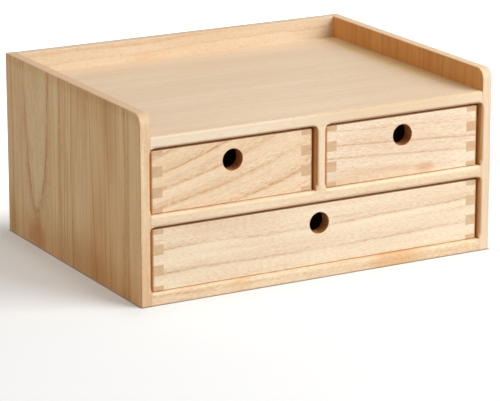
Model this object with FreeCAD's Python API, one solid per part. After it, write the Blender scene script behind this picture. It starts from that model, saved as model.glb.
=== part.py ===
import FreeCAD, Part
import os

# Desktop mini drawers: a wooden cabinet with a walled tray on top, two small drawers
# side by side and one wide drawer below them.
# Millimetres. The origin is the middle of the base, +X is to the right seen from the
# front, the front faces -Y, and +Z is up.

Vector = FreeCAD.Vector
X_WAY = Vector(1, 0, 0)
Y_WAY = Vector(0, 1, 0)
Z_WAY = Vector(0, 0, 1)

# Cabinet sizes
cabinet_width = 350.0
cabinet_depth = 266.0
cabinet_height = 167.0
upright_thickness = 10.0
level_thickness = 11.0
gallery_height = 20.0
gallery_corner_radius = 9.0
top_front_radius = 2.0
sanded_radius = 1.0

# Round-over of the drawer openings, cut by a bit that a bearing guides
rim_radius = 3.0
bearing_radius = 5.0

# Back panel in its rebate, and its pins
back_panel_thickness = 3.0
rebate_width = 5.0
panel_edge_gap = 0.3
pin_radius = 0.6
pin_length = 12.0
pin_head_radius = 1.3
pin_head_height = 0.6
pin_fit_gap = 0.05
side_pin_shares = (0.12, 0.5, 0.88)
end_pin_shares = (0.15, 0.5, 0.85)

# Dowels of the butt joints
dowel_radius = 3.0
dowel_length = 20.0
dowel_depth_in_face = 6.5
dowel_end_gap = 0.5
dowel_fit_gap = 0.1
dowel_chamfer = 0.8
dowel_depth_shares = (0.12, 0.5, 0.86)
divider_dowel_shares = (0.2, 0.8)
rail_dowel_shares = (0.5,)

# Drawers
drawer_rows = 2
drawer_recess = 3.2
drawer_side_play = 3.0
drawer_top_gap = 2.2
drawer_running_gap = 0.3
drawer_back_gap = 0.5
drawer_board_thickness = 11.5
drawer_corner_radius = 2.5
drawer_rim_radius = 0.8
tongue_count = 3
tongue_start_share = 0.25
tongue_end_share = 0.75
finger_hole_radius = 9.5
finger_hole_drop = 17.0
finger_hole_rounding = 0.5
drawer_bottom_thickness = 3.0
drawer_bottom_height = 5.5
groove_depth = 5.0
groove_end_gap = 0.4
groove_top_gap = 0.2

# The share of its side play that each drawer, as it stands, has on its left
left_play_shares = {"upper_left": 0.32, "upper_right": 0.12, "lower": 0.5}

# Every cut runs this far past the wood, and points this close are the same
overrun = 5.0
same_place = 0.001

# Places that the pieces share
front = -cabinet_depth / 2
back = cabinet_depth / 2
panel_face = back - back_panel_thickness
right_outside = cabinet_width / 2
left_outside = -right_outside
right_inside = right_outside - upright_thickness
left_inside = -right_inside
divider_right = upright_thickness / 2
divider_left = -divider_right
tray_floor = cabinet_height - gallery_height
top_underside = tray_floor - level_thickness
bottom_top = level_thickness
compartment_height = (top_underside - bottom_top - level_thickness) / drawer_rows
shelf_underside = bottom_top + compartment_height
shelf_top = shelf_underside + level_thickness
rail_face = back - upright_thickness

# Left, right, bottom and top of each drawer's compartment
compartments = {
    "upper_left": (left_inside, divider_left, shelf_top, top_underside),
    "upper_right": (divider_right, right_inside, shelf_top, top_underside),
    "lower": (left_inside, right_inside, bottom_top, shelf_underside),
}


def block(left, right, near, far, bottom, top):
    """A box between two places along each axis."""
    corner = Vector(left, near, bottom)
    return Part.makeBox(right - left, far - near, top - bottom, corner)


def share_of(low, high, share):
    """The place a share of the way from low to high."""
    return low + (high - low) * share


def lies_on(edge, way, place):
    """True if the whole edge lies in the plane across way at place."""
    middle = edge.valueAt((edge.FirstParameter + edge.LastParameter) / 2)
    points = [vertex.Point for vertex in edge.Vertexes] + [middle]
    return all(abs(point.dot(way) - place) < same_place for point in points)


def edges_on(shape, *planes):
    """The edges that lie in all the planes, each given as its normal and its place."""
    return [edge for edge in shape.Edges
            if all(lies_on(edge, way, place) for way, place in planes)]


def round_edges(shape, radius, edges):
    return shape.makeFillet(radius, edges)


def rim_cutter(left, right, bottom, top):
    """What a guided round-over bit takes from an opening's front edge: it can't reach
    into the corners, so the round-over sweeps past them in an arc."""
    plug = block(left, right, front - overrun, front + rim_radius + overrun, bottom, top)
    corners = [edge for edge in plug.Edges
               if abs(edge.tangentAt(edge.FirstParameter).dot(Y_WAY)) > 1 - same_place]
    plug = round_edges(plug, bearing_radius, corners)
    reach = rim_radius + overrun
    flange = block(left - reach, right + reach, front - overrun, front,
                   bottom - reach, top + reach)
    cutter = plug.fuse(flange)
    outer = (left - reach, right + reach)
    outline = [edge for edge in edges_on(cutter, (Y_WAY, front))
               if not any(lies_on(edge, X_WAY, place) for place in outer)
               and not any(lies_on(edge, Z_WAY, place) for place in (bottom - reach, top + reach))]
    return round_edges(cutter, rim_radius, outline)


def cut_all(shape, cutters):
    for cutter in cutters:
        shape = shape.cut(cutter)
    return shape


def side_panel(outside, inside):
    """A full-height side. Its upper part is the tray's wall, so that part's inner edges
    are eased too, back to the rail, and its front corner is rounded."""
    low, high = min(outside, inside), max(outside, inside)
    lower = block(low, high, front, back, 0, tray_floor)
    behind_rail = block(low, high, rail_face, back, tray_floor, cabinet_height)
    wall = block(low, high, front, rail_face, tray_floor, cabinet_height)
    wall = round_edges(wall, gallery_corner_radius,
                       edges_on(wall, (Y_WAY, front), (Z_WAY, cabinet_height)))
    eased = [edge for edge in edges_on(wall, (X_WAY, inside))
             if not lies_on(edge, Z_WAY, tray_floor) and not lies_on(edge, Y_WAY, rail_face)]
    wall = round_edges(wall, sanded_radius, eased)
    panel = lower.fuse([wall, behind_rail]).removeSplitter()
    foot = [edge for place in (front, back) for edge in edges_on(panel, (Y_WAY, place), (Z_WAY, 0))]
    return round_edges(panel, sanded_radius, edges_on(panel, (X_WAY, outside)) + foot)


def top_board():
    board = block(left_inside, right_inside, front, rail_face, top_underside, tray_floor)
    return round_edges(board, top_front_radius, edges_on(board, (Y_WAY, front), (Z_WAY, tray_floor)))


def bottom_board():
    board = block(left_inside, right_inside, front, back, 0, bottom_top)
    for place in (front, back):
        board = round_edges(board, sanded_radius, edges_on(board, (Y_WAY, place), (Z_WAY, 0)))
    return board


def back_rail():
    """The tray's back wall. The top board butts against its lower part."""
    rail = block(left_inside, right_inside, rail_face, back, top_underside, cabinet_height)
    for place in (rail_face, back):
        rail = round_edges(rail, sanded_radius, edges_on(rail, (Y_WAY, place), (Z_WAY, cabinet_height)))
    return rail


def back_panel(edge_gap, far):
    """The thin back, or with no edge gap the rebate that it lies in."""
    outer = rebate_width - edge_gap
    return block(left_inside - outer, right_inside + outer, panel_face, far,
                 bottom_top - outer, top_underside + outer)


def dowel(joint, way):
    """A dowel across a joint, and the hole it sits in. Way points into the board's end."""
    start = joint - way * dowel_depth_in_face
    peg = Part.makeCylinder(dowel_radius, dowel_length, start, way)
    ends = [edge for edge in peg.Edges if edge.isClosed()]
    peg = peg.makeChamfer(dowel_chamfer, ends)
    hole_length = dowel_length + dowel_end_gap + dowel_end_gap
    hole = Part.makeCylinder(dowel_radius + dowel_fit_gap, hole_length,
                             start - way * dowel_end_gap, way)
    return peg, hole


def end_dowels(near, far, shares, height):
    """Dowels through both ends of a board that lies between the side panels."""
    places = [share_of(near, far, share) for share in shares]
    return ([dowel(Vector(left_inside, place, height), X_WAY) for place in places]
            + [dowel(Vector(right_inside, place, height), -X_WAY) for place in places])


def divider_dowels():
    """Dowels through the divider's two ends, into the shelf and the top board."""
    places = [share_of(front, panel_face, share) for share in divider_dowel_shares]
    return ([dowel(Vector(0, place, shelf_top), Z_WAY) for place in places]
            + [dowel(Vector(0, place, top_underside), -Z_WAY) for place in places])


def back_pin(x, z):
    """A small pin through the back panel, its head flush, and the hole it sits in."""
    shapes = []
    for gap in (0, pin_fit_gap):
        shank = Part.makeCylinder(pin_radius + gap, pin_length + gap, Vector(x, back, z), -Y_WAY)
        head = Part.makeCylinder(pin_head_radius + gap, pin_head_height + gap, Vector(x, back, z), -Y_WAY)
        shapes.append(shank.fuse(head).removeSplitter())
    return shapes


def back_pins():
    middle = rebate_width / 2
    left, right = left_inside - middle, right_inside + middle
    bottom, top = bottom_top - middle, top_underside + middle
    pins = []
    for share in side_pin_shares:
        pins += [back_pin(x, share_of(bottom, top, share)) for x in (left, right)]
    for share in end_pin_shares:
        pins += [back_pin(share_of(left, right, share), z) for z in (bottom, top)]
    return pins


def tongues(left, right, near, far, bottom, top):
    """The front's or back's fingers at one corner of a drawer."""
    pitch = (top - bottom) / tongue_count
    return [block(left, right, near, far,
                  bottom + pitch * (index + tongue_start_share),
                  bottom + pitch * (index + tongue_end_share))
            for index in range(tongue_count)]


def crossing_edges(shape, first_way, first_places, second_way, second_places):
    """The edges where planes across one way meet planes across another."""
    return [edge for first in first_places for second in second_places
            for edge in edges_on(shape, (first_way, first), (second_way, second))]


def drawer_envelope(left, right, near, far, bottom, top):
    """The whole drawer's outside: its front corners are rounded, its other edges sanded."""
    whole = block(left, right, near, far, bottom, top)
    ends = round_edges(whole, drawer_corner_radius,
                       crossing_edges(whole, X_WAY, (left, right), Y_WAY, (near,)))
    ends = round_edges(ends, sanded_radius,
                       crossing_edges(ends, X_WAY, (left, right), Y_WAY, (far,)))
    rims = round_edges(whole, sanded_radius,
                       crossing_edges(whole, Y_WAY, (near, far), Z_WAY, (bottom, top)))
    sides = round_edges(whole, sanded_radius,
                        crossing_edges(whole, X_WAY, (left, right), Z_WAY, (bottom, top)))
    return ends.common(rims).common(sides)


def drawer_hollow(left, right, near, far, bottom, top):
    """The drawer's inside, flared over the rim so that the inner edges are sanded."""
    inside = block(left, right, near, far, bottom - overrun, top + overrun)
    reach = drawer_rim_radius + overrun
    over = block(left - reach, right + reach, near - reach, far + reach, top, top + overrun)
    hollow = inside.fuse(over)
    rim = [edge for edge in edges_on(hollow, (Z_WAY, top))
           if any(lies_on(edge, X_WAY, place) for place in (left, right))
           or any(lies_on(edge, Y_WAY, place) for place in (near, far))]
    return round_edges(hollow, drawer_rim_radius, rim)


def finger_hole(board, x, z, near):
    """The board with the finger hole through it, its two edges rounded."""
    start = Vector(x, near - overrun, z)
    length = drawer_board_thickness + overrun + overrun
    board = board.cut(Part.makeCylinder(finger_hole_radius, length, start, Y_WAY))
    far = near + drawer_board_thickness
    mouths = [edge for place in (near, far) for edge in edges_on(board, (Y_WAY, place))
              if edge.isClosed()]
    return round_edges(board, finger_hole_rounding, mouths)


def drawer(opening_left, opening_right, opening_bottom, opening_top, left_play_share):
    """The five boards of one drawer, closed, in its compartment."""
    left = opening_left + drawer_side_play * left_play_share
    right = left + opening_right - opening_left - drawer_side_play
    near = front + drawer_recess
    far = panel_face - drawer_back_gap
    bottom = opening_bottom + drawer_running_gap
    top = opening_top - drawer_top_gap
    inner_left = left + drawer_board_thickness
    inner_right = right - drawer_board_thickness
    inner_near = near + drawer_board_thickness
    inner_far = far - drawer_board_thickness
    floor = bottom + drawer_bottom_height

    def across(start, end):
        """A front or back board, with its fingers through to the drawer's sides."""
        web = block(inner_left, inner_right, start, end, bottom, top)
        ends = tongues(left, inner_left, start, end, bottom, top)
        ends += tongues(inner_right, right, start, end, bottom, top)
        return web.fuse(ends).removeSplitter()

    def along(start, end):
        """A side board, notched at both ends for the fingers."""
        notches = tongues(start, end, near, inner_near, bottom, top)
        notches += tongues(start, end, inner_far, far, bottom, top)
        return cut_all(block(start, end, near, far, bottom, top), notches)

    groove_reach = groove_depth + groove_end_gap
    panel = block(inner_left - groove_depth, inner_right + groove_depth,
                  inner_near - groove_depth, inner_far + groove_depth,
                  floor, floor + drawer_bottom_thickness)
    groove = block(inner_left - groove_reach, inner_right + groove_reach,
                   inner_near - groove_reach, inner_far + groove_reach,
                   floor, floor + drawer_bottom_thickness + groove_top_gap)
    outside = drawer_envelope(left, right, near, far, bottom, top)
    hollow = drawer_hollow(inner_left, inner_right, inner_near, inner_far, bottom, top)
    boards = {
        "front": across(near, inner_near),
        "back": across(inner_far, far),
        "left_side": along(left, inner_left),
        "right_side": along(inner_right, right),
    }
    boards = {name: board.common(outside).cut(groove).cut(hollow) for name, board in boards.items()}
    boards["front"] = finger_hole(boards["front"], (left + right) / 2, top - finger_hole_drop, near)
    boards["bottom"] = panel
    return boards


def cabinet():
    """The cabinet's boards, the dowels and the pins that hold them."""
    boards = {
        "left_side_panel": side_panel(left_outside, left_inside),
        "right_side_panel": side_panel(right_outside, right_inside),
        "top_board": top_board(),
        "middle_shelf": block(left_inside, right_inside, front, panel_face, shelf_underside, shelf_top),
        "vertical_divider": block(divider_left, divider_right, front, panel_face, shelf_top, top_underside),
        "bottom_board": bottom_board(),
        "back_rail": back_rail(),
    }
    rims = [rim_cutter(*opening) for opening in compartments.values()]
    rebate = back_panel(0, back + overrun)
    boards = {name: cut_all(board, rims + [rebate]) for name, board in boards.items()}
    boards["back_panel"] = back_panel(panel_edge_gap, back)

    half = level_thickness / 2
    fasteners = {
        "top_board_dowels": end_dowels(front, rail_face, dowel_depth_shares, top_underside + half),
        "middle_shelf_dowels": end_dowels(front, back, dowel_depth_shares, shelf_underside + half),
        "bottom_board_dowels": end_dowels(front, back, dowel_depth_shares, half),
        "back_rail_dowels": end_dowels(rail_face, back, rail_dowel_shares,
                                       (top_underside + cabinet_height) / 2),
        "divider_dowels": divider_dowels(),
        "back_panel_pins": back_pins(),
    }
    for pairs in fasteners.values():
        holes = Part.makeCompound([hole for _, hole in pairs])
        for name, board in boards.items():
            boards[name] = board.cut(holes)
    for name, pairs in fasteners.items():
        boards[name] = Part.makeCompound([piece for piece, _ in pairs])
    return boards


def single(shape):
    """The one solid that a board is, or the group of solids that fasteners are."""
    return shape.Solids[0] if len(shape.Solids) == 1 else Part.makeCompound(shape.Solids)


nodes = cabinet()
for place, opening in compartments.items():
    for name, board in drawer(*opening, left_play_shares[place]).items():
        nodes[place + "_drawer_" + name] = board

os.makedirs("parts", exist_ok=True)
for name, shape in nodes.items():
    solid = single(shape)
    solid.exportStep("parts/" + name + ".step")
    print(name, len(shape.Solids), round(solid.Volume), shape.isValid())
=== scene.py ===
import math

import bpy
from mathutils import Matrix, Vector


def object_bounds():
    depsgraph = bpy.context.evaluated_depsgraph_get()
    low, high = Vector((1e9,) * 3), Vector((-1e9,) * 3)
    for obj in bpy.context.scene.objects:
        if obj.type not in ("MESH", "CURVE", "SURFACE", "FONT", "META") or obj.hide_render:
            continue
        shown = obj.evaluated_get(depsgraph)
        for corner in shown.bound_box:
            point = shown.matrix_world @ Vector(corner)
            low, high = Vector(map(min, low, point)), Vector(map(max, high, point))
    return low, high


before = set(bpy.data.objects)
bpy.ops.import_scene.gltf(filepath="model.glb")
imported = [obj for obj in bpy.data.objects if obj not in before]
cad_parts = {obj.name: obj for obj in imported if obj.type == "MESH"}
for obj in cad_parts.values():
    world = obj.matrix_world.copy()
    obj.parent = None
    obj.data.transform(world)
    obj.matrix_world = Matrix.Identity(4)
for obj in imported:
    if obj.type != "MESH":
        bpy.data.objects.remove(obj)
cad_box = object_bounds()

# Camera
# A long lens stands about 2.5 m off, left of the front and above the tray, and looks
# slightly down, as the photograph was taken.

camera_place = Vector((-1.16744, -2.08333, 0.71716))
camera_turn = math.radians(29.353)
camera_dip = math.radians(15.904)
camera_lens = 197.254
film_width = 36

camera_data = bpy.data.cameras.new("camera")
camera_data.lens = camera_lens
camera_data.sensor_width = film_width
camera = bpy.data.objects.new("camera", camera_data)
camera.location = camera_place
camera.rotation_euler = (math.pi / 2 - camera_dip, 0, -camera_turn)
bpy.context.scene.collection.objects.link(camera)
bpy.context.scene.camera = camera
bpy.context.scene.view_settings.view_transform = "Standard"


# Paper and room
# The drawers stand on white paper that runs off into a white room. The paper glows a little to
# the camera, and more with distance, so that it ends in plain white and still keeps the shadow.

def linear(code):
    """A colour's sRGB hex value as linear light."""
    shares = [int(code[place:place + 2], 16) / 255 for place in (0, 2, 4)]
    return [s / 12.92 if s <= 0.04045 else ((s + 0.055) / 1.055) ** 2.4 for s in shares]


def add(tree, kind, inputs=None, stops=(), **settings):
    """Adds a shader node. Each input gets a value, or a link from another node's socket."""
    made = tree.nodes.new("ShaderNode" + kind)
    for name, value in settings.items():
        setattr(made, name, value)
    for name, value in (inputs or {}).items():
        if isinstance(value, bpy.types.NodeSocket):
            tree.links.new(value, made.inputs[name])
        else:
            made.inputs[name].default_value = value
    for number, (place, colour) in enumerate(stops):
        ramp = made.color_ramp.elements
        stop = ramp[number] if number < 2 else ramp.new(place)
        stop.position = place
        stop.color = (*colour, 1)
    return made


paper_size = 12.0
paper_colour = linear("BEBEBE")  # to the light that it throws back
seen_colour = linear("E9EEF4")  # to the camera
near_glow = 0.22
full_glow = 1.0
reach_fade = (0.55, 1.6)  # from the middle of the drawers, in metres
back_fade = (0.11, 0.27)  # and from there towards the back
# painted shade at the foot: the paper is coloured dark in a thin line under it, and glows less beside it
painted_shade_colour = linear("7C6850")
painted_shade_width = 0.0018  # the dark line right under the foot
painted_dim_width = 0.035  # the weaker glow beside the foot
painted_dim_share = 0.6

paper_mesh = bpy.data.meshes.new("paper_floor")
half = paper_size / 2
paper_mesh.from_pydata(
    [(-half, -half, 0), (half, -half, 0), (half, half, 0), (-half, half, 0)], [], [(0, 1, 2, 3)]
)
paper = bpy.data.objects.new("paper_floor", paper_mesh)
bpy.context.scene.collection.objects.link(paper)

matt_paper = bpy.data.materials.new("matt_paper")
matt_paper.use_nodes = True
tree = matt_paper.node_tree
tree.nodes.clear()
ray = add(tree, "LightPath").outputs["Is Camera Ray"]
place = add(tree, "TexCoord").outputs["Object"]
reach = add(tree, "VectorMath", {0: place}, operation="LENGTH").outputs["Value"]
depth = add(tree, "SeparateXYZ", {0: place}).outputs["Y"]
far_off, behind = (
    add(
        tree, "MapRange",
        {"Value": way, "From Min": fade[0], "From Max": fade[1], "To Min": near_glow, "To Max": full_glow},
        interpolation_type="SMOOTHSTEP",
    ).outputs["Result"]
    for way, fade in ((reach, reach_fade), (depth, back_fade))
)
faded = add(tree, "Math", {0: far_off, 1: behind}, operation="MAXIMUM").outputs[0]

# how far a spot lies outside the foot: a thin line of painted shade lies there, and the glow is weaker
# beside it, also as painted shade
spot = add(tree, "VectorMath", {0: place}, operation="ABSOLUTE").outputs[0]
foot_half = [max(abs(corner[axis]) for corner in cad_box) for axis in (0, 1)]
past = add(tree, "VectorMath", {0: spot, 1: (*foot_half, 0)}, operation="SUBTRACT").outputs[0]
sides = add(tree, "SeparateXYZ", {0: past}).outputs
gap = add(tree, "Math", {0: sides["X"], 1: sides["Y"]}, operation="MAXIMUM").outputs[0]
clear_of_foot, undimmed = (
    add(
        tree, "MapRange", {"Value": gap, "From Max": width, "To Min": least},
        interpolation_type="SMOOTHSTEP",
    ).outputs[0]
    for width, least in ((painted_shade_width, 0.0), (painted_dim_width, painted_dim_share))
)
seen_white = add(
    tree, "Mix", {0: clear_of_foot, 6: (*painted_shade_colour, 1), 7: (*seen_colour, 1)}, data_type="RGBA"
).outputs[2]
lit = add(tree, "Math", {0: faded, 1: undimmed}, operation="MULTIPLY").outputs[0]
share = add(tree, "Math", {0: ray, 1: lit}, operation="MULTIPLY").outputs[0]
white = add(tree, "Mix", {0: ray, 6: (*paper_colour, 1), 7: seen_white}, data_type="RGBA").outputs[2]
card = add(tree, "BsdfDiffuse", {"Color": white}).outputs[0]
glow = add(tree, "Emission", {"Color": (1, 1, 1, 1), "Strength": share}).outputs[0]
seen = add(tree, "AddShader", {0: card, 1: glow}).outputs[0]
add(tree, "OutputMaterial", {"Surface": seen})
paper_mesh.materials.append(matt_paper)

room_level = 0.18
room_colour = linear("FFF6EC")
room = bpy.data.worlds.new("white_room")
room.use_nodes = True
tree = room.node_tree
tree.nodes.clear()
path = add(tree, "LightPath").outputs
bright = add(tree, "Math", {0: path["Is Camera Ray"], 1: path["Is Glossy Ray"]}, operation="MAXIMUM")
clear = add(tree, "Math", {0: bright.outputs[0], 1: path["Is Transmission Ray"]}, operation="MAXIMUM")
clear = clear.outputs[0]
level = add(tree, "MapRange", {"Value": clear, "To Min": room_level, "To Max": 1.0}).outputs[0]
tint = add(tree, "Mix", {0: clear, 6: (*room_colour, 1), 7: (1, 1, 1, 1)}, data_type="RGBA").outputs[2]
sky = add(tree, "Background", {"Color": tint, "Strength": level}).outputs[0]
add(tree, "OutputWorld", {"Surface": sky})
bpy.context.scene.world = room


# Lamps
# A large soft lamp stands high at the front right. A warm card at the left, a small card low
# behind and a faint lamp overhead lift the faces that it doesn't reach.

middle = Vector((0, 0, 0.08))


def lamp(name, place, size, level, colour):
    """A soft square lamp aimed at the drawers. Level is how bright a white card there looks, facing it."""
    reach = middle - Vector(place)
    data = bpy.data.lights.new(name, "AREA")
    data.size = size
    data.color = linear(colour)
    data.energy = level * math.pi ** 2 * reach.length_squared
    made = bpy.data.objects.new(name, data)
    made.location = place
    made.rotation_euler = reach.to_track_quat("-Z", "Y").to_euler()
    made.visible_camera = False
    bpy.context.scene.collection.objects.link(made)


lamp("key_lamp", place=(1.40, -1.65, 1.50), size=2.0, level=1.14, colour="FFFDFA")
lamp("left_card", place=(-2.10, -0.20, 0.70), size=1.4, level=0.21, colour="FFDBA2")
lamp("rear_card", place=(1.50, 1.70, 0.22), size=0.44, level=0.28, colour="FFFFFF")
lamp("top_lamp", place=(-0.10, 0.30, 2.30), size=1.6, level=0.13, colour="FFFFFF")


# Side panels
# Each side is a panel of upright paulownia staves, glued edge to edge and planed flat.
# The joints show as faint upright lines, and the front corner and rims are sanded round.

MM = 0.001
axis_letters = "XYZ"
steepest_dive = 0.25
stave_jump = 700.0
seed_step = 7.0
pore_size = (0.5, 5)
stain_tone = "DB9A63"
pore_tone = "C0884C"
glue_tone = "8A5E38"
# painted shade for the finger holes' walls
hole_wall_shade = "DDB48C"


def planed_paulownia(
    name, axes, span, staves, ring, uneven=1.6, lean=0.0, fan=0.0, wander=2.5, lines=0.5, thick=0.55,
    broken=0.35, stripe=0.10, speckle=0.75, fibre=(0.6, 4), streak=0.25, pores=0.5, joint=0.5,
    joint_width=0.35, seed=0.0, pale="F3DCC0", warm="DDB68C", late="C4823A", soak="E7DACB",
    ends=(0.25, 0.85), even=0.3, rim="C88E55", rimmed=0.8, narrow=None, skins=(), drawn=(), patches=(),
    bore=None,
):
    """Paulownia, planed and oiled thin: pale and matt, with wide growth rings, long pores and little sheen.

    Lengths are in mm on the board's own axes, which axes names in this order: across its face, through
    its thickness and along its grain. Strengths run from 0 to about 1, colours are sRGB hex values.

    span: the board's lowest and highest place across
    staves: where each starts across, its pith's place across and through, how dark it is, and how fast
        the pith dives through the board along the grain
    ring, uneven: a year's growth, and how much the years differ
    lean, fan: the grain's slope on the face in degrees, and how much the slope grows with each mm across
    wander: how far the rings sway
    lines, thick, broken: the strength of the late wood's lines, their width, and what breaks leave of them
    stripe, speckle, fibre: the strength of long stripes and of fibres, and a fibre's width and length
    streak, pores: the strength of the orange mineral streaks and of the pores
    joint, joint_width: the strength and half width of the glue lines
    seed: picks another tree
    pale, warm, late: the wood's lightest and darkest tones, and its lines
    soak, ends, even: the tint of end grain, the slopes at which it starts and is full, and how far its
        figure is evened out
    rim, rimmed: the tint of the rounded edges that don't look upwards, partly soaked wood and partly
    painted shade, and its strength
    narrow: the colour and strength of a tone on the board's narrow faces
    skins: tints through the board's thickness: where each starts, where it is full, and its colour
    drawn: single dark lines: the place across, the drift along, the half width and the strength
    patches: tinted spots: the place across and along, the half width and length, strength and colour
    bore: the middle and radius of a drilled hole, whose wall is tinted darker and warmer as painted shade
    """
    across, through, along = (axis_letters.index(letter) for letter in axes)
    low, high = span
    material = bpy.data.materials.new(name)
    material.use_nodes = True
    tree = material.node_tree
    shader = tree.nodes["Principled BSDF"]
    place = add(tree, "TexCoord").outputs

    # the place on the board in mm, and the stave that it falls in
    scaled = add(tree, "VectorMath", {0: place["Object"], "Scale": 1 / MM}, operation="SCALE").outputs[0]
    own = add(tree, "SeparateXYZ", {0: scaled}).outputs
    turned = add(tree, "CombineXYZ", {0: own[across], 1: own[through], 2: own[along]}).outputs[0]
    share = add(tree, "MapRange", {"Value": own[across], "From Min": low, "From Max": high}).outputs[0]
    far = max(abs(number) for stave in staves for number in stave[1:3])
    picked = add(tree, "ValToRGB", {"Fac": share})
    picked.color_ramp.interpolation = "CONSTANT"
    stops = picked.color_ramp.elements
    for number, (start, pith_across, pith_through, dark, dive) in enumerate(staves):
        stop = stops.new((start - low) / (high - low)) if number else stops[0]
        core = [(offset / far + 1) / 2 for offset in (pith_across, pith_through)]
        stop.color = (*core, dark, (dive / steepest_dive + 1) / 2)
    stops[len(stops) - 1].color = stops[len(stops) - 2].color
    stave = add(tree, "SeparateColor", {0: picked.outputs["Color"]}).outputs

    # the same place in the log: from the pith, which leans and dives along the grain
    pith = [
        add(tree, "MapRange", {"Value": stave[n], "To Min": -far, "To Max": far}, clamp=False).outputs[0]
        for n in (0, 1)
    ]
    jump = add(tree, "Math", {0: stave[2], 1: stave_jump}, operation="MULTIPLY").outputs[0]
    core = add(tree, "CombineXYZ", {0: pith[0], 1: pith[1], 2: jump}).outputs[0]
    moved = add(tree, "VectorMath", {0: turned, 1: core}, operation="SUBTRACT").outputs[0]
    bend = {0: own[across], 1: -fan, 2: -math.tan(math.radians(lean))}
    slope = add(tree, "Math", bend, operation="MULTIPLY_ADD").outputs[0]
    spread = {"Value": picked.outputs["Alpha"], "To Min": steepest_dive, "To Max": -steepest_dive}
    dive = add(tree, "MapRange", spread, clamp=False).outputs[0]
    slopes = add(tree, "CombineXYZ", {0: slope, 1: dive}).outputs[0]
    leant = add(tree, "VectorMath", {0: slopes, "Scale": own[along]}, operation="SCALE").outputs[0]
    log = add(tree, "VectorMath", {0: moved, 1: leant}, operation="ADD").outputs[0]

    def noise(size, salt, low=0.0, high=1.0, detail=2.0, roughness=0.5, start=0.3, end=0.7):
        """Noise in the log, its patches size[0] mm wide and size[1] mm long, spread from low to high."""
        width, length = size
        per_patch = (1 / width, 1 / width, 1 / length)
        grain = add(tree, "VectorMath", {0: log, 1: per_patch}, operation="MULTIPLY").outputs[0]
        cloud = add(
            tree, "TexNoise",
            {"Vector": grain, "W": seed * seed_step + salt, "Scale": 1.0, "Detail": detail,
             "Roughness": roughness},
            noise_dimensions="4D",
        ).outputs[0]
        spread = {"Value": cloud, "From Min": start, "From Max": end, "To Min": low, "To Max": high}
        return add(tree, "MapRange", spread).outputs[0]

    # growth rings: the distance from the pith in years, shifted by the tree's bends and ripples
    flat = add(tree, "VectorMath", {0: log, 1: (1, 1, 0)}, operation="MULTIPLY").outputs[0]
    distance = add(tree, "VectorMath", {0: flat}, operation="LENGTH").outputs["Value"]
    bends = noise((40, 150), salt=1, low=-wander, high=wander)
    ripples = noise((8, 24), salt=2, low=-0.5, high=0.5)
    bent = add(tree, "Math", {0: distance, 1: bends}, operation="ADD").outputs[0]
    rippled = add(tree, "Math", {0: bent, 1: ripples}, operation="ADD").outputs[0]
    years = add(tree, "Math", {0: rippled, 1: ring}, operation="DIVIDE").outputs[0]
    weather = {"W": years, "Scale": 0.45, "Detail": 1.0}
    luck = add(tree, "TexNoise", weather, noise_dimensions="1D").outputs[0]
    shifted = add(tree, "Math", {0: luck, 1: uneven, 2: years}, operation="MULTIPLY_ADD").outputs[0]
    year = add(tree, "Math", {0: shifted}, operation="FRACT").outputs[0]

    # a year's late wood darkens slowly, ends in a hard line, and fades through the next early wood
    hair = thick / ring
    band = add(
        tree, "ValToRGB", {"Fac": year},
        stops=[(0.0, (1, 1, 1)), (1.0, (1, 1, 1)), (hair, (0.72,) * 3), (4 * hair, (0.28,) * 3),
               (12 * hair, (0.05,) * 3), (1 - 4 * hair, (0.0,) * 3), (1 - hair, (0.30,) * 3)],
    ).outputs[0]
    strength = noise((16, 80), salt=4, low=0.2 * lines, high=lines)
    dashes = noise((1.0, 5), salt=3, low=broken, detail=1)
    line = add(tree, "Math", {0: band, 1: strength}, operation="MULTIPLY").outputs[0]
    for start, slant, half_width, dark in drawn:
        straight = {0: own[along], 1: -slant, 2: own[across]}
        run = add(tree, "Math", straight, operation="MULTIPLY_ADD").outputs[0]
        swayed = add(tree, "Math", {0: bends, 1: 0.4, 2: run}, operation="MULTIPLY_ADD").outputs[0]
        off = add(tree, "Math", {0: swayed, 1: start}, operation="SUBTRACT").outputs[0]
        away = add(tree, "Math", {0: off}, operation="ABSOLUTE").outputs[0]
        fall = {"Value": away, "From Min": half_width, "From Max": 0.0, "To Max": dark}
        mark = add(tree, "MapRange", fall).outputs[0]
        line = add(tree, "Math", {0: line, 1: mark}, operation="MAXIMUM").outputs[0]
    line = add(tree, "Math", {0: line, 1: dashes}, operation="MULTIPLY").outputs[0]

    # the ground between the lines: broad drift, long stripes and fibres between two tones
    drift = noise((24, 190), salt=5, high=0.40, detail=3)
    stripes = noise((2.6, 130), salt=6, low=-stripe, high=stripe)
    fibres = noise(fibre, salt=7, low=-0.5, high=0.5, detail=3, roughness=0.6)
    soft = add(tree, "Math", {0: drift, 1: stave[2]}, operation="ADD").outputs[0]
    striped = add(tree, "Math", {0: soft, 1: stripes}, operation="ADD").outputs[0]
    blend = {0: fibres, 1: speckle, 2: striped}
    tone = add(tree, "Math", blend, operation="MULTIPLY_ADD", use_clamp=True).outputs[0]
    pale_colour, warm_colour, late_colour, stain_colour, pore_colour, glue_colour = (
        (*linear(code), 1) for code in (pale, warm, late, stain_tone, pore_tone, glue_tone)
    )
    ground = add(tree, "Mix", {0: tone, 6: pale_colour, 7: warm_colour}, data_type="RGBA").outputs[2]

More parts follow.
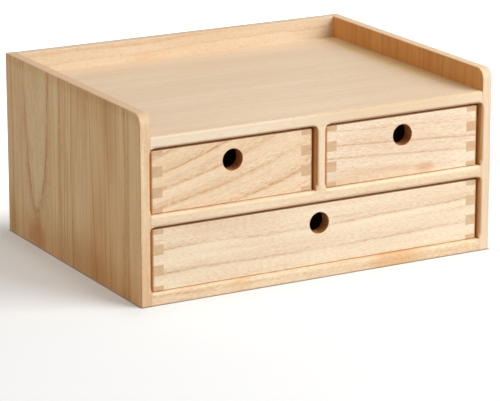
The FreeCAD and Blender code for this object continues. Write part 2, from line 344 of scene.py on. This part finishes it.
    # tints of the ground: skins through the thickness, and soft patches with ragged edges
    tints = []
    for shallow, full, colour in skins:
        depth = {"Value": own[through], "From Min": shallow, "From Max": full}
        tints.append((add(tree, "MapRange", depth).outputs[0], colour))
    for across_at, along_at, half_width, half_length, strong, colour in patches:
        middle_of, spread = [0.0] * 3, [0.0] * 3
        middle_of[across], middle_of[along] = across_at, along_at
        spread[across], spread[along] = 1 / half_width, 1 / half_length
        off = add(tree, "VectorMath", {0: scaled, 1: middle_of}, operation="SUBTRACT").outputs[0]
        sized = add(tree, "VectorMath", {0: off, 1: spread}, operation="MULTIPLY").outputs[0]
        away = add(tree, "VectorMath", {0: sized}, operation="LENGTH").outputs["Value"]
        ragged = add(tree, "Math", {0: fibres, 1: 0.5, 2: away}, operation="MULTIPLY_ADD").outputs[0]
        fall = {"Value": ragged, "From Min": 1.3, "From Max": 0.4, "To Max": strong}
        tints.append((add(tree, "MapRange", fall, interpolation_type="SMOOTHSTEP").outputs[0], colour))
    for strong, colour in tints:
        tinting = {0: strong, 6: ground, 7: (*linear(colour), 1)}
        ground = add(tree, "Mix", tinting, data_type="RGBA", blend_type="MULTIPLY").outputs[2]

    # ring lines and mineral streaks over it
    ringed = add(tree, "Mix", {0: line, 6: ground, 7: late_colour}, data_type="RGBA").outputs[2]
    stain = noise((5, 45), salt=9, high=streak, detail=3, start=0.58, end=0.72)
    stained = add(tree, "Mix", {0: stain, 6: ringed, 7: stain_colour}, data_type="RGBA").outputs[2]

    # pores crowd the start of each year. They are 0.2 mm wide, and drawn wider to show at all
    crowd = add(
        tree, "ValToRGB", {"Fac": year},
        stops=[(0.0, (1, 1, 1)), (1.0, (0.5,) * 3), (6 * hair, (0.75,) * 3), (0.45, (0.28,) * 3),
               (0.9, (0.12,) * 3)],
    ).outputs[0]
    pit = noise(pore_size, salt=11, detail=1, start=0.58, end=0.70)
    pore = add(tree, "Math", {0: pit, 1: crowd}, operation="MULTIPLY").outputs[0]
    shade = add(tree, "Math", {0: pore, 1: pores}, operation="MULTIPLY").outputs[0]
    finish = add(tree, "Mix", {0: shade, 6: stained, 7: pore_colour}, data_type="RGBA").outputs[2]

    # glue lines between staves
    if len(staves) > 1:
        thin = joint_width / (high - low)
        marks = [(0.0, (0, 0, 0)), (1.0, (0, 0, 0))]
        for second in staves[1:]:
            seam = (second[0] - low) / (high - low)
            marks += [(seam - thin, (0, 0, 0)), (seam, (1, 1, 1)), (seam + thin, (0, 0, 0))]
        glue = add(tree, "ValToRGB", {"Fac": share}, stops=marks).outputs[0]
        glued = add(tree, "Math", {0: glue, 1: joint}, operation="MULTIPLY").outputs[0]
        finish = add(tree, "Mix", {0: glued, 6: finish, 7: glue_colour}, data_type="RGBA").outputs[2]

    # end grain soaks up more oil and turns darker. Rounded edges that don't look upwards turn darker too,
    # partly soaked and partly painted shade
    facing = add(tree, "SeparateXYZ", {0: place["Normal"]}).outputs
    sizes = [add(tree, "Math", {0: facing[n]}, operation="ABSOLUTE").outputs[0] for n in range(3)]
    end_grain = {"Value": sizes[along], "From Min": ends[0], "From Max": ends[1]}
    ended = add(tree, "MapRange", end_grain).outputs[0]
    pair = add(tree, "Math", {0: sizes[0], 1: sizes[1]}, operation="MAXIMUM").outputs[0]
    most = add(tree, "Math", {0: pair, 1: sizes[2]}, operation="MAXIMUM").outputs[0]
    slanted = {"Value": most, "From Min": 0.99, "From Max": 0.85, "To Max": rimmed}
    eased = add(tree, "MapRange", slanted).outputs[0]
    shaded_unless_upward = add(tree, "MapRange", {"Value": facing["Z"], "From Min": 0.12, "From Max": 0.0}).outputs[0]
    rim_soak_and_shade = add(tree, "Math", {0: eased, 1: shaded_unless_upward}, operation="MULTIPLY").outputs[0]
    thirsty = add(tree, "Math", {0: ended, 1: rim_soak_and_shade}, operation="MAXIMUM").outputs[0]
    smooth = add(tree, "Math", {0: ended, 1: even}, operation="MULTIPLY").outputs[0]
    soaked = add(tree, "Mix", {0: smooth, 6: finish, 7: pale_colour}, data_type="RGBA").outputs[2]
    if narrow:
        colour, strong = narrow
        edged = {"Value": sizes[across], "From Min": 0.90, "From Max": 0.97, "To Max": strong}
        edge_share = add(tree, "MapRange", edged).outputs[0]
        toned = {0: edge_share, 6: soaked, 7: (*linear(colour), 1)}
        soaked = add(tree, "Mix", toned, data_type="RGBA").outputs[2]
    stains = [(ended, soak), (rim_soak_and_shade, rim)]
    # the finger hole's wall is tinted darker and warmer, as painted shade
    if bore:
        centre, radius = bore
        off = add(tree, "VectorMath", {0: scaled, 1: centre}, operation="SUBTRACT").outputs[0]
        level = add(tree, "VectorMath", {0: off, 1: (1, 0, 1)}, operation="MULTIPLY").outputs[0]
        away = add(tree, "VectorMath", {0: level}, operation="LENGTH").outputs["Value"]
        wall = {"Value": away, "From Min": radius + 0.4, "From Max": radius + 0.1}
        stains.append((add(tree, "MapRange", wall).outputs[0], hole_wall_shade))
    for strong, colour in stains:
        soaking = {0: strong, 6: soaked, 7: (*linear(colour), 1)}
        soaked = add(tree, "Mix", soaking, data_type="RGBA", blend_type="MULTIPLY").outputs[2]

    # the surface: open pores and end grain scatter more, and the oil has raised the fibres a little
    dull = add(tree, "MapRange", {"Value": thirsty, "To Min": 0.58, "To Max": 0.75}).outputs[0]
    roughness = add(tree, "Math", {0: pore, 1: 0.15, 2: dull}, operation="MULTIPLY_ADD").outputs[0]
    height = add(tree, "Math", {0: pore, 1: -1.0, 2: fibres}, operation="MULTIPLY_ADD").outputs[0]
    bump = add(tree, "Bump", {"Height": height, "Strength": 0.12, "Distance": 0.1 * MM}).outputs[0]
    for socket, source in (("Base Color", soaked), ("Roughness", roughness), ("Normal", bump)):
        tree.links.new(source, shader.inputs[socket])
    shader.inputs["IOR"].default_value = 1.48
    shader.inputs["Specular IOR Level"].default_value = 0.3
    return material


def dress(node, material):
    """Gives a piece of the frame its finish."""
    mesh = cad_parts[node].data
    mesh.materials.clear()
    mesh.materials.append(material)


panel_span = (-133, 133)
upright_fibre = (0.8, 30)
panel_rim = "F0D6AE"
left_staves = [
    (-133, -255.5, -150, 0.16, 0), (-105, -60, -115, 0.12, 0), (-75, -60, -112, 0.20, 0),
    (-42, -24, -115, 0.14, 0), (-5, 217, -150, 0.10, 0), (42, 71, -147.1, 0.02, -0.14),
    (99, -124, -150, 0.22, 0),
]
left_lines = [
    (121, 0, 1.2, 0.7), (112, 0, 1.0, 0.6), (29, -0.047, 1.2, 0.6), (16, -0.047, 1.1, 0.8),
    (10, -0.047, 1.0, 0.8), (5, -0.047, 0.9, 0.7), (-47.5, 0.06, 1.2, 0.8), (-77, 0.03, 1.2, 0.7),
    (-106, 0, 1.1, 0.5), (-126, 0, 1.1, 0.5),
]
# the patch along the foot, across the whole panel, is painted shade: the panel darkens towards the bottom,
# where the paper lies in its shadow
left_patches = [
    (72, 10, 20, 16, 0.45, "E0AE8C"), (-25, 8, 30, 46, 0.30, "E4C4A4"), (-55, 30, 22, 70, 0.35, "E8C4A0"),
    (-100, 20, 60, 90, 0.35, "EACCAC"), (0, 0, 170, 34, 0.5, "E6CAAE"), (0, 167, 400, 9, 0.30, "DCC2A2"),
    (-78, 150, 17, 62, 0.50, "DCC0A0"), (128, 12, 13, 34, 0.40, "DCC0A0"),
    (-35, 165, 50, 26, 0.25, "E0C8AC"),
]
right_staves = [
    (-133, -330, 175, 0.05, 0), (-69, -290, 150, 0.34, 0), (-36, 150, 140, 0.10, 0),
    (7, -190, 140, 0.30, 0), (34, 270, 160, 0.15, 0), (57, -160, 140, 0.36, 0), (88, 270, 160, 0.26, 0),
]
# each panel's inner face, which looks into the tray and the openings, gets a darker, warmer skin as painted
# shade
dress("left_side_panel", planed_paulownia(
    "planed_paulownia_left_side", "YXZ", panel_span, left_staves, ring=24.5, uneven=0.0, wander=2.0,
    lines=1.2, thick=0.9, stripe=0.3, speckle=0.7, fibre=upright_fibre, streak=0.12, joint=0.25, seed=1.0,
    pale="FFF0D2", warm="E6C294", soak="E6D4CC", even=0.8, rim=panel_rim, narrow=("FFE6C8", 0.2),
    skins=[(-165.8, -165, "CFAA84")], drawn=left_lines, patches=left_patches,
))
# its inner face gets the same painted shade
dress("right_side_panel", planed_paulownia(
    "planed_paulownia_right_side", "YXZ", panel_span, right_staves, ring=16, lines=0.9, stripe=0.25,
    fibre=upright_fibre, joint=0.5, joint_width=0.8, seed=2.0, soak="FAF4EC", even=0.8, rim=panel_rim,
    narrow=("FFEAD4", 0.1), skins=[(165.6, 165, "EAC490")],
))


# Top board
# The tray's floor is a quarter-sawn paulownia board, 11 mm thick, planed and oiled, between
# the side panels. Its grain runs straight and fine from side to side, the calmest of all.

# painted shade: faces that look into the drawers' openings get a darker, warmer skin
painted_shade_skin = "EAC490"
dress("top_board", planed_paulownia(
    "planed_paulownia_top", "YZX", (-133, 123), [(-133, -420, 60, 0.08, 0)], ring=7, lean=1, wander=2.0,
    lines=0.22, stripe=0.08, speckle=0.4, fibre=(0.9, 12), streak=0.05, seed=3.0, pale="F5EAD8",
    warm="E8CFAF", rim="E8C49A", rimmed=0.6, narrow=("FFF0D8", 0.45),
    # its underside gets that painted shade skin
    skins=[(136.8, 136, painted_shade_skin), (146.2, 146.8, "FAF1E7")],
    # painted shade: the first patch dims the highlight along the right half of the front edge, the second
    # warms the shade on the tray beside the right side panel
    patches=[(-133, 85, 1.0, 110, 0.8, "E6CEA6"), (20, 160, 140, 16, 0.9, "FFF4CC")],
))


# Back rail
# A strip of paulownia stands behind the top board and closes the tray, doweled into both sides.
# It is planed and oiled as they are, with a few orange mineral streaks.

dress("back_rail", planed_paulownia(
    "planed_paulownia_rail", "ZYX", (137, 167), [(137, 60, 40, 0.1, 0)], ring=9, lean=1, streak=0.3,
    seed=4.0, pale="E9DAC3", warm="DABC95",
))


# Shelf, bottom board and divider
# The shelf and the bottom are glued from two boards each, with the grain from side to side.
# The divider between the upper drawers stands with its grain upright. Dowels join them all.

# the shelf's underside gets that painted shade skin too
dress("middle_shelf", planed_paulownia(
    "planed_paulownia_shelf", "YZX", (-133, 130), [(-133, -200, 20, 0.05, 0), (0, 300, 60, 0.2, 0)],
    ring=9, lean=1, streak=0.3, joint=0.2, seed=5.0, pale="FCEACF", warm="E6C498", rimmed=0.3,
    skins=[(68.8, 68, painted_shade_skin)],
))
dress("bottom_board", planed_paulownia(
    "planed_paulownia_bottom", "YZX", (-133, 133), [(-133, -180, -30, 0.1, 0), (-10, 320, 70, 0.2, 0)],
    ring=10, lean=1, speckle=1.0, streak=0.5, joint=0.2, seed=6.0, pale="FEEDD3", warm="E2BA88",
    rimmed=0.3, patches=[(-133, -78, 30, 12, 0.3, "F4D4AC"), (-133, 78, 30, 26, 0.6, "F4D4AC")],
))
# the divider's faces, in the openings, get that painted shade skin too
dress("vertical_divider", planed_paulownia(
    "planed_paulownia_divider", "YXZ", (-133, 130), [(-133, -200, 10, 0.0, 0), (10, 200, 60, 0.2, 0)],
    ring=8, lean=1, streak=0.15, joint=0.2, seed=7.0, pale="F8E6CC", warm="E2BE92",
    skins=[(-4, -5, painted_shade_skin), (4, 5, painted_shade_skin)],
))


# Back panel
# This is 3 mm plywood in the cabinet's rebate, faced with paulownia that was peeled from the
# log. Peeled veneer follows the rings, so that they show as wide wild figures.

peeled = dict(ring=4, lean=1, wander=7.0, lines=0.35, streak=0.1)
dress("back_panel", planed_paulownia(
    "peeled_paulownia_plywood", "ZYX", (0, 167), [(0, 80, 116, 0.2, 0.03)], seed=8.0, **peeled
))


# Dowels
# Plain beech dowels, turned and glued into blind holes, join the boards. They are pinker and
# finer in grain than the boards, and stay out of sight.

turned_beech = planed_paulownia(
    "turned_beech", "YZX", (-133, 133), [(-133, 0, 60, 0.2, 0)], ring=3, lines=0.3, seed=9.0,
    pale="E0B98E", warm="D2A174",
)
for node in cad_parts:
    if node.endswith("_dowels"):
        dress(node, turned_beech)


# Panel pins
# Small zinc-plated steel pins hold the back panel in its rebate. The plating is a dull blue
# grey, and clouded where it grew thicker.

cloud_scale = 900.0  # to a metre, so each cloud is about 1 mm wide
zinc_plated_steel = bpy.data.materials.new("zinc_plated_steel")
zinc_plated_steel.use_nodes = True
tree = zinc_plated_steel.node_tree
shader = tree.nodes["Principled BSDF"]
place = add(tree, "TexCoord").outputs["Object"]
clouds = add(tree, "TexNoise", {"Vector": place, "Scale": cloud_scale, "Detail": 3.0}).outputs[0]
bright_zinc, dull_zinc = ((*linear(code), 1) for code in ("B9BDC2", "9EA2A6"))
plating = add(tree, "Mix", {0: clouds, 6: bright_zinc, 7: dull_zinc}, data_type="RGBA").outputs[2]
dull = add(tree, "MapRange", {"Value": clouds, "To Min": 0.28, "To Max": 0.45}).outputs[0]
tree.links.new(plating, shader.inputs["Base Color"])
tree.links.new(dull, shader.inputs["Roughness"])
shader.inputs["Metallic"].default_value = 1.0
dress("back_panel_pins", zinc_plated_steel)


# Drawers
# Each drawer is a box of paulownia boards with finger joints at its corners, three fingers to
# a corner, and a plywood floor in grooves. The sides' ends show darker in the front's face.

fronts = {
    "upper_left_drawer": dict(
        span=(78, 138), staves=[(78, -178, -90, 0.08, 0)], ring=26, uneven=0.0, lean=-6.3, fan=0.005,
        wander=1.5, lines=1.15, thick=1.1, broken=0.15, pores=1.0, seed=11.0, pale="FEE9CB",
    ),
    "upper_right_drawer": dict(
        span=(78, 138), staves=[(78, -133.7, -100, 0.0, 0)], ring=12, uneven=0.0, lean=-3.2, wander=1.5,
        lines=0.35, seed=12.0, pale="FFF0DA", drawn=[(116.2, -0.057, 1.4, 0.7), (104.8, -0.056, 1.4, 0.6)],
        patches=[(84.5, 108, 5, 10, 0.5, "EAC4A0"), (84, 60, 8, 62, 0.4, "EED8BC")],
    ),
    "lower_drawer": dict(
        span=(10, 68), staves=[(10, -101.6, -110, -0.10, 0)], ring=21.5, uneven=0.0, lean=0.6, wander=1.8,
        lines=0.9, seed=13.0, pale="FFF1D8",
    ),
}
side_tones = {"upper_left_drawer": "F8E6CC", "upper_right_drawer": "FBE8CC", "lower_drawer": "FFF0D4"}
hidden_span = (0, 140)
hidden_rim = "E6BFA4"
# painted shade: the top and bottom edges of the drawers' fronts and sides, which look into the gaps, are
# darker
painted_gap_shade = "C88E58"
back_seed = 20
side_seeds = {"left": 40, "right": 60}
hole_drop = 17.0
hole_radius = 9.5

drawer_floor = planed_paulownia(
    "peeled_paulownia_drawer_floor", "YZX", (-133, 133), [(-133, 0, 16, 0.2, 0.03)], seed=8.5, **peeled
)


def box_of(node):
    """The low and high corners of a piece of the frame, in mm."""
    points = [corner.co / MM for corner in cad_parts[node].data.vertices]
    return [Vector([pick(point[axis] for point in points) for axis in range(3)]) for pick in (min, max)]


for drawer, cut in fronts.items():
    low, high = box_of(drawer + "_front")
    hole = ((low.x + high.x) / 2, low.y, high.z - hole_drop)
    dress(drawer + "_front", planed_paulownia(
        f"planed_paulownia_{drawer}_front", "ZYX", soak="DCCABA", ends=(0.02, 0.35), rim="F4E4D8",
        narrow=(painted_gap_shade, 0.4), bore=(hole, hole_radius), **cut
    ))
    dress(drawer + "_back", planed_paulownia(
        f"planed_paulownia_{drawer}_back", "ZYX", hidden_span, [(0, -120, 150, 0.2, 0)], ring=11,
        seed=cut["seed"] + back_seed, pale="F8E6CC", rim=hidden_rim,
    ))
    for side, side_seed in side_seeds.items():
        dress(f"{drawer}_{side}_side", planed_paulownia(
            f"planed_paulownia_{drawer}_{side}", "ZXY", hidden_span, [(0, -140, 50, 0.15, 0)], ring=10,
            seed=cut["seed"] + side_seed, pale=side_tones[drawer], rim=hidden_rim, narrow=(painted_gap_shade, 0.5),
        ))
    dress(drawer + "_bottom", drawer_floor)
